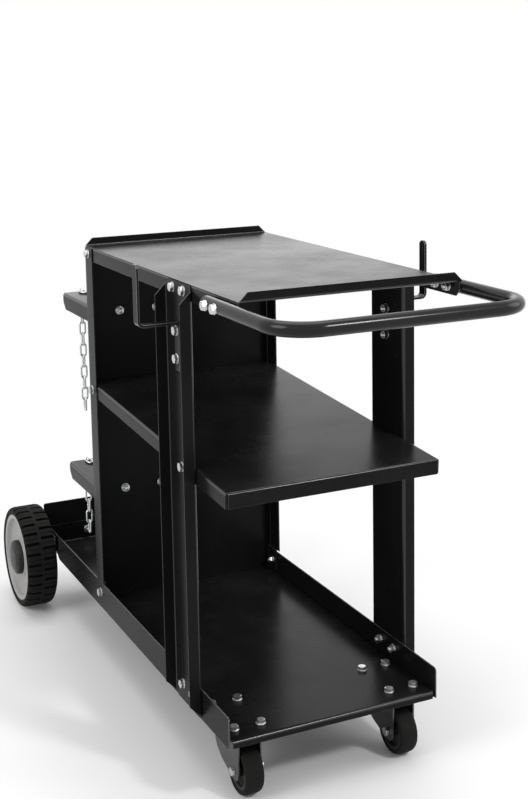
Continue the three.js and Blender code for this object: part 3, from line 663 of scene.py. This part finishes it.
def sideBolts(side):
    shelfIn = cartLayout["shelfEdge"] - cartLayout["sheet"]
    post, middle, wing = (cartLayout[key] for key in ("postFace", "postMiddle", "wingBolt"))
    shelfRow, deckRow = cartLayout["shelfBoltHeight"], cartLayout["deckBoltHeight"]
    spots = []
    for y in cartLayout["postBolts"]:
        spots += [(post, y, shelfRow, shelfIn), (post, y, deckRow, shelfIn)]
    spots += [(post, *midShelfBolt(y), shelfIn) for y in (middle, wing)]
    spots.append((post, wing, shelfRow, shelfIn))
    spots.append((cartLayout["shelfEdge"], wing, deckRow, boltPlaces["deckInside"]))
    for z in boltPlaces["hookHeights"]:
        spots.append((boltPlaces["hookFace"], middle, z, boltPlaces["hookBack"]))
    spots += [(boltPlaces["tubeFace"], y, shelfRow, shelfIn) for y in boltPlaces["tubeRows"]]
    spots += [(boltPlaces["lugFace"], y, deckRow, shelfIn) for y in boltPlaces["lugRows"]]
    build = bmesh.new()
    for headX, y, z, nutX in spots:
        addBolt(build, (side * headX, y, z), (side, 0, 0), (side * nutX, y, z))
    return build


makePiece("leftSideBolts", sideBolts(-1), "zincPlate", "frame")
makePiece("rightSideBolts", sideBolts(1), "zincPlate", "frame")


def rearBolts():
    build = bmesh.new()
    for top in chainTops.values():
        z = top - boltPlaces["cradleDrop"]
        for x in boltPlaces["cradleColumns"]:
            head, nut = (x, boltPlaces["cradleFace"], z), (x, boltPlaces["plateFront"], z)
            addBolt(build, head, (0, 1, 0), nut)
    z = cartLayout["deckBoltHeight"]
    for x in boltPlaces["stopColumns"]:
        head, nut = (x, boltPlaces["stopFace"], z), (x, boltPlaces["stopFront"], z)
        addBolt(build, head, (0, 1, 0), nut)
    return build


makePiece("cradleAndStopBolts", rearBolts(), "zincPlate", "frame")


def casterBolts(side):
    build = bmesh.new()
    for across in boltPlaces["casterAcross"]:
        for along in boltPlaces["casterAlong"]:
            x = side * cartLayout["casterX"] + across
            y = cartLayout["casterPin"] + along
            head, nut = (x, y, boltPlaces["deckTop"]), (x, y, boltPlaces["casterUnder"])
            addBolt(build, head, (0, 0, 1), nut)
    return build


makePiece("leftCasterBolts", casterBolts(-1), "zincPlate", "frame")
makePiece("rightCasterBolts", casterBolts(1), "zincPlate", "frame")
print("bolts placed")


# push handle: one smooth bent tube
handleShape = {
    "x": 198.2, "end": -262.0, "front": -520.0, "height": 798.0, "bend": 60.0, "bendSteps": 18,
    "radius": 11.0, "wall": 2.0, "sides": 40,
}


def handleRoute():
    bend = handleShape["bend"]
    turnY = handleShape["front"] + bend
    steps = handleShape["bendSteps"]
    route = [(-handleShape["x"], handleShape["end"], 0, -1)]
    for k in range(steps + 1):
        a = math.pi / 2 * k / steps
        x = -handleShape["x"] + bend * (1 - math.cos(a))
        route.append((x, turnY - bend * math.sin(a), math.sin(a), -math.cos(a)))
    for k in range(steps + 1):
        a = math.pi / 2 * k / steps
        x = handleShape["x"] - bend * (1 - math.sin(a))
        route.append((x, turnY - bend * math.cos(a), math.cos(a), math.sin(a)))
    route.append((handleShape["x"], handleShape["end"], 0, 1))
    return route


def handleMesh():
    build = bmesh.new()
    sides = handleShape["sides"]
    rings = []
    for radius in (handleShape["radius"], handleShape["radius"] - handleShape["wall"]):
        run = []
        for x, y, dx, dy in handleRoute():
            across = Vector((dy, -dx, 0))
            middle = at(x, y, handleShape["height"])
            ring = []
            for i in range(sides):
                a = 2 * math.pi * i / sides
                arm = across * math.cos(a) + Vector((0, 0, math.sin(a)))
                ring.append(tuple(middle + arm * radius * millimetre))
            run.append(ring)
        rings.append(run)
    addRings(build, rings[0] + rings[1][::-1], Matrix.Identity(4), closed=True)
    return build


makePiece("bentHandleTube", handleMesh(), "tubeCoat", "frame", ["push_handle"])
print("handle made")


# chains: round wire links with a weld bead on one leg
chainShape = {
    "x": -148.0, "y": 516.0, "wire": 2.0, "bow": 5.5, "leg": 7.5, "step": 22.5, "free": 21.7,
    "gap": 0.3, "bite": 0.7, "links": {"upper": 10, "lower": 6}, "around": 28, "sides": 12,
    "beadSwell": 0.45, "beadLength": 3.4, "beadRings": 6, "beadSides": 14,
}


def addLink(build, place):
    bow, leg, wire = chainShape["bow"], chainShape["leg"], chainShape["wire"]
    around, sides = chainShape["around"], chainShape["sides"]
    rings = []
    for i in range(around):
        a = 2 * math.pi * (i + 0.5) / around
        rise = bow * math.sin(a) + math.copysign(leg, math.sin(a))
        middle = Vector((bow * math.cos(a), 0, rise))
        out = Vector((math.cos(a), 0, math.sin(a)))
        ring = []
        for j in range(sides):
            b = 2 * math.pi * j / sides
            point = middle + out * math.cos(b) * wire + Vector((0, math.sin(b) * wire, 0))
            ring.append(point * millimetre)
        rings.append(ring)
    addRings(build, rings, place, closed=True)
    addBead(build, place @ Matrix.Translation(Vector((bow * millimetre, 0, 0))))


def addBead(build, place):
    length, count = chainShape["beadLength"], chainShape["beadRings"]
    rings = [circle(0, -length / 2, 1)]
    for k in range(count + 1):
        swell = chainShape["wire"] + chainShape["beadSwell"] * math.sin(math.pi * k / count)
        rings.append(circle(swell, (k / count - 0.5) * length, chainShape["beadSides"]))
    rings.append(circle(0, length / 2, 1))
    addRings(build, rings, place)


def standing(z, across):
    turn = Matrix.Rotation(math.pi / 2 if across else 0, 4, "Z")
    return Matrix.Translation(at(chainShape["x"], chainShape["y"], z)) @ turn


def lying(z):
    span = chainShape["bow"] + chainShape["leg"]
    turn = Matrix.Rotation(math.pi / 2, 4, "X")
    return Matrix.Translation(at(chainShape["x"], chainShape["y"] - span, z)) @ turn


def makeChain(name, top):
    wire = chainShape["wire"]
    inside = chainShape["bow"] + chainShape["leg"] - wire
    second = top + chainShape["gap"] + wire * 2 - chainShape["bite"] - inside
    anchor = bmesh.new()
    addLink(anchor, lying(top + chainShape["gap"] + wire))
    addLink(anchor, standing(second, True))
    makePiece(name + "ChainHeldLinks", anchor, "zincPlate", "frame", [name + "_chain_anchor"])
    hanging = bmesh.new()
    for k in range(chainShape["links"][name]):
        drop = chainShape["free"] + k * chainShape["step"]
        addLink(hanging, standing(second - drop, k % 2 == 1))
    swing = name + "_chain_swing"
    makePiece(name + "ChainHangingLinks", hanging, "zincPlate", swing, [name + "_chain"])


for chainName, bracketTop in chainTops.items():
    makeChain(chainName, bracketTop)
print("chains made")


# strip under the back plate, closing its gap to the deck
footStrip = {
    "halfWidth": 176.0, "front": 350.1, "rear": 351.9, "low": 115.05, "high": 118.0,
    "ease": 0.4, "endInset": 0.2,
}


def stripMesh():
    build = bmesh.new()
    wide, ease = footStrip["halfWidth"], footStrip["ease"]
    front, rear, low, high = (footStrip[key] for key in ("front", "rear", "low", "high"))
    section = [
        (front, low + ease), (front + ease, low), (rear - ease, low), (rear, low + ease),
        (rear, high), (front, high),
    ]
    middleY, middleZ = (front + rear) / 2, (low + high) / 2
    ends = []
    for x in (-wide, -wide + ease, wide - ease, wide):
        inset = footStrip["endInset"] if abs(x) == wide else 0.0
        ring = []
        for y, z in section:
            y += math.copysign(inset, middleY - y)
            z += math.copysign(inset, middleZ - z)
            ring.append(at(x, y, z))
        ends.append(ring)
    centres = [[sum(ends[k], Vector()) / len(section)] for k in (0, -1)]
    addRings(build, [centres[0]] + ends + [centres[1]], Matrix.Identity(4))
    return build


makePiece("backPlateFootStrip", stripMesh(), "blackCoat", "frame")
print("foot strip made")


# rear wheels
wheelShape = {
    "face": 267.0, "discSides": 120, "capSides": 72, "blocks": 30, "floor": 98.6,
    "groove": 0.22, "grooveDepth": 7.4, "sipe": (0.60, 0.62), "sipeDepth": 3.0,
    "marks": (0.0, 0.085, 0.10, 0.12, 0.135, 0.22, 0.25, 0.47),  # repeated half a block on
}
tyreProfile = [
    # radius, height, row (0 none, 1 outer blocks, 2 inner blocks)
    (86.4, -5.6, 0), (91.4, -3.4, 0), (91.6, 0.2, 0), (93.0, 1.0, 0), (94.6, 1.2, 0),
    (95.0, 1.8, 0), (98.4, 1.9, 0), (98.8, 1.3, 0), (101.0, 0.7, 0), (102.6, -0.2, 1),
    (104.2, -2.4, 1), (105.2, -5.0, 1), (106.0, -9.0, 1), (106.0, -18.0, 1), (106.0, -26.6, 1),
    (105.9, -27.2, 0), (106.0, -28.4, 0), (106.0, -31.6, 0), (105.9, -32.8, 0), (106.0, -33.4, 2),
    (106.0, -42.0, 2), (106.0, -51.0, 2), (105.2, -55.0, 2), (104.2, -57.6, 2), (102.6, -59.8, 2),
    (101.0, -60.7, 0), (98.8, -61.3, 0), (98.4, -61.9, 0), (95.0, -61.8, 0), (94.6, -61.2, 0),
    (93.0, -61.0, 0), (91.6, -60.2, 0), (91.4, -56.6, 0), (86.4, -54.4, 0),
]


def treadDrop(row, mark):
    along = round((mark + 0.5 * (row == 2)) % 1.0, 4)
    low, high = wheelShape["sipe"]
    if row and along <= wheelShape["groove"]:
        return wheelShape["grooveDepth"]
    return wheelShape["sipeDepth"] if row and low <= along <= high else 0.0


def wheelPlace(side):
    y, z = cartLayout["axle"]
    return facing((side, 0, 0), at(side * wheelShape["face"], y, z))


def tyreMesh(side):
    build = bmesh.new()
    blocks = wheelShape["blocks"]
    marks = [mark + half for half in (0.0, 0.5) for mark in wheelShape["marks"]]
    rings = []
    for radius, height, row in tyreProfile:
        ring = []
        for k in range(blocks):
            for mark in marks:
                drop = treadDrop(row, mark)
                r = max(radius - drop, wheelShape["floor"]) if drop else radius
                ring.append(polar(r, 2 * math.pi * (k + mark) / blocks, height))
        rings.append(ring)
    addRings(build, rings, wheelPlace(side), closed=True)
    return build


# radius, height above the wheel's face
discProfile = [
    (6.6, -2), (20.2, -2), (21.2, -2.6), (23.4, -6.6), (24.6, -7.5), (37.4, -7.5), (38.4, -8.2),
    (39.6, -12.0), (41.0, -13), (54, -13), (68, -12.8), (76, -11.8), (79.6, -9.6), (81.2, -6.0),
    (82.4, -1.2), (83.4, -0.3), (84.6, 0), (90.2, 0), (90.8, -0.5), (90.9, -2.8), (86, -5),
    (86, -55), (90.9, -57), (90.9, -59.6), (90.4, -60), (82.6, -60), (82, -59.4), (82, -19),
    (80.5, -17.4), (74, -16), (30, -17), (24, -19), (21, -23), (21, -61.6), (20.6, -62), (6.6, -62),
]
capProfile = [
    (0, 8.6), (12, 8.5), (21, 8.0), (26.6, 7.0), (27.4, 6.2), (30.6, 5.7), (33.4, 4.5), (35.0, 2.6),
    (35.7, 0.4), (36.0, -7.1), (33.6, -7.1), (33.2, 0.4), (28, 3.4), (17, 5.4), (0, 5.8),
]


def wheelTurned(profile, side, count):
    build = bmesh.new()
    addTurned(build, profile, wheelPlace(side), count, closed=profile[0][0] > 0)
    return build


for name, side in (("left", -1), ("right", 1)):
    body = name + "_rear_wheel"
    disc = wheelTurned(discProfile, side, wheelShape["discSides"])
    cap = wheelTurned(capProfile, side, wheelShape["capSides"])
    makePiece(name + "BlockTreadTyre", tyreMesh(side), "tyreRubber", body, [name + "_wheel_tyre"])
    makePiece(name + "WheelDisc", disc, "discPlastic", body, [name + "_wheel_disc"])
    makePiece(name + "HubCap", cap, "capPlastic", body, [name + "_hub_cap"])
print("rear wheels made")


# caster wheels and race covers: radius, height along the axle or the kingpin
casterCore = [
    (4.3, -17), (10.4, -17), (11, -16.4), (11, -9), (12.5, -8), (24.4, -7), (26, -8.4),
    (26.4, -13.4), (27, -14), (31, -14), (31, 14), (27, 14), (26.4, 13.4), (26, 8.4), (24.4, 7),
    (12.5, 8), (11, 9), (11, 16.4), (10.4, 17), (4.3, 17),
]
casterTyre = [
    (31.3, -15), (33.0, -15.8), (35.0, -16), (36.6, -15.6), (37.8, -14.4), (38.9, -12.2),
    (39.6, -9), (40.0, -5), (40.0, 5), (39.6, 9), (38.9, 12.2), (37.8, 14.4), (36.6, 15.6),
    (35.0, 16), (33.0, 15.8), (31.3, 15),
]
raceCover = [
    (31.2, 93.6), (32.2, 94.2), (32.4, 98.8), (31.2, 101.6), (28.6, 103.0), (27.6, 102.8),
    (31.2, 98.8),
]
casterSides = {"hub": 72, "tread": 96, "cover": 72}


def casterTurned(profile, place, way, count):
    build = bmesh.new()
    addTurned(build, profile, facing(way, at(*place)), count)
    return build


for name, side in (("left", -1), ("right", 1)):
    x, y = side * cartLayout["casterX"], cartLayout["casterPin"]
    middle = (x, y - cartLayout["casterTrail"], cartLayout["casterRadius"])
    wheel = name + "_caster_wheel"
    hub = casterTurned(casterCore, middle, (1, 0, 0), casterSides["hub"])
    makePiece(name + "CasterHub", hub, "capPlastic", wheel, [name + "_caster_core"])
    tread = casterTurned(casterTyre, middle, (1, 0, 0), casterSides["tread"])
    makePiece(name + "CasterTread", tread, "tyreRubber", wheel, [name + "_caster_tyre"])
    cover = casterTurned(raceCover, (x, y, 0.0), (0, 0, 1), casterSides["cover"])
    makePiece(name + "CasterRaceCover", cover, "zincPlate", name + "_caster_swivel")
print("casters finished")


# studio, in metres and watts: pale floor that fades to white, soft lamps, white surroundings
studio = {
    "floorColour": (0.92, 0.92, 0.92), "floorRough": 0.7, "floorRings": (0.0, 1.5, 4.0, 14.0),
    "floorSides": 96, "clearRadius": (0.45, 1.35), "worldFill": 0.5,
    # name, place, target, size, power
    "lamps": [
        ("keySoft", (-2.9, -0.5, 2.4), (0, 0, 0.4), 2.0, 46),
        ("backSoft", (1.1, 2.6, 1.5), (0, 0.2, 0.5), 1.6, 6),
        ("sideSoft", (2.6, -1.2, 1.9), (0, 0, 0.45), 1.8, 18),
        ("frontSoft", (1.35, -2.7, 2.7), (0, -0.2, 0.4), 0.5, 40),
        ("topSoft", (0.1, 0.3, 3.3), (0, 0.1, 0), 2.6, 40),
    ],
}


def seenRays(tree, x, y):
    # one for rays from the camera, from shiny faces and through clear ones
    ray = addNode(tree, "ShaderNodeLightPath", (x, y))
    first = addNode(tree, "ShaderNodeMath", (x + 200, y), operation="MAXIMUM")
    seen = addNode(tree, "ShaderNodeMath", (x + 400, y), operation="MAXIMUM")
    feed(tree, [
        (ray.outputs["Is Camera Ray"], first.inputs[0]),
        (ray.outputs["Is Glossy Ray"], first.inputs[1]),
        (first.outputs[0], seen.inputs[0]),
        (ray.outputs["Is Transmission Ray"], seen.inputs[1]),
    ])
    return seen.outputs[0]


def floorMaterial():
    material = bpy.data.materials.new("paleFloor")
    material.use_nodes = True
    tree = material.node_tree
    shader = tree.nodes["Principled BSDF"]
    shader.inputs["Base Color"].default_value = (*studio["floorColour"], 1)
    shader.inputs["Roughness"].default_value = studio["floorRough"]
    near, far = studio["clearRadius"]
    white = addNode(tree, "ShaderNodeEmission", (0, -300), {"Strength": 1.0})
    spot = addNode(tree, "ShaderNodeTexCoord", (-800, 300))
    reach = addNode(tree, "ShaderNodeVectorMath", (-600, 300), operation="LENGTH")
    fade = addNode(
        tree, "ShaderNodeMapRange", (-400, 300), {"From Min": near, "From Max": far},
        interpolation_type="SMOOTHSTEP",
    )
    share = addNode(tree, "ShaderNodeMath", (-200, 200), operation="MULTIPLY")
    mixed = addNode(tree, "ShaderNodeMixShader", (300, 0))
    feed(tree, [
        (spot.outputs["Object"], reach.inputs[0]),
        (reach.outputs["Value"], fade.inputs["Value"]),
        (fade.outputs["Result"], share.inputs[0]),
        (seenRays(tree, -800, 0), share.inputs[1]),
        (share.outputs[0], mixed.inputs["Fac"]),
        (shader.outputs[0], mixed.inputs[1]),
        (white.outputs[0], mixed.inputs[2]),
        (mixed.outputs[0], tree.nodes["Material Output"].inputs["Surface"]),
    ])
    return material


def makeFloor():
    build = bmesh.new()
    sides = studio["floorSides"]
    rings = [circle(radius / millimetre, 0, sides) for radius in studio["floorRings"]]
    addRings(build, rings, Matrix.Identity(4))
    mesh = bpy.data.meshes.new("studioFloor")
    build.to_mesh(mesh)
    build.free()
    mesh.materials.append(floorMaterial())
    floor = bpy.data.objects.new("studioFloor", mesh)
    scene.collection.objects.link(floor)


def makeWorld():
    world = bpy.data.worlds.new("studioWorld")
    scene.world = world
    world.use_nodes = True
    tree = world.node_tree
    plainWhite = (1, 1, 1, 1)
    fill = tree.nodes["Background"]
    fill.inputs["Color"].default_value = plainWhite
    fill.inputs["Strength"].default_value = studio["worldFill"]
    white = addNode(
        tree, "ShaderNodeBackground", (0, -200), {"Color": plainWhite, "Strength": 1.0},
    )
    mixed = addNode(tree, "ShaderNodeMixShader", (200, 0))
    feed(tree, [
        (seenRays(tree, -600, 200), mixed.inputs["Fac"]),
        (fill.outputs[0], mixed.inputs[1]),
        (white.outputs[0], mixed.inputs[2]),
        (mixed.outputs[0], tree.nodes["World Output"].inputs["Surface"]),
    ])


def makeLamps():
    for name, place, target, size, power in studio["lamps"]:
        data = bpy.data.lights.new(name, "AREA")
        data.shape = "DISK"
        data.size = size
        data.energy = power
        lamp = bpy.data.objects.new(name, data)
        scene.collection.objects.link(lamp)
        lamp.location = place
        lamp.rotation_mode = "QUATERNION"
        lamp.rotation_quaternion = (Vector(target) - Vector(place)).to_track_quat("-Z", "Y")


makeFloor()
makeWorld()
makeLamps()
print("studio ready")
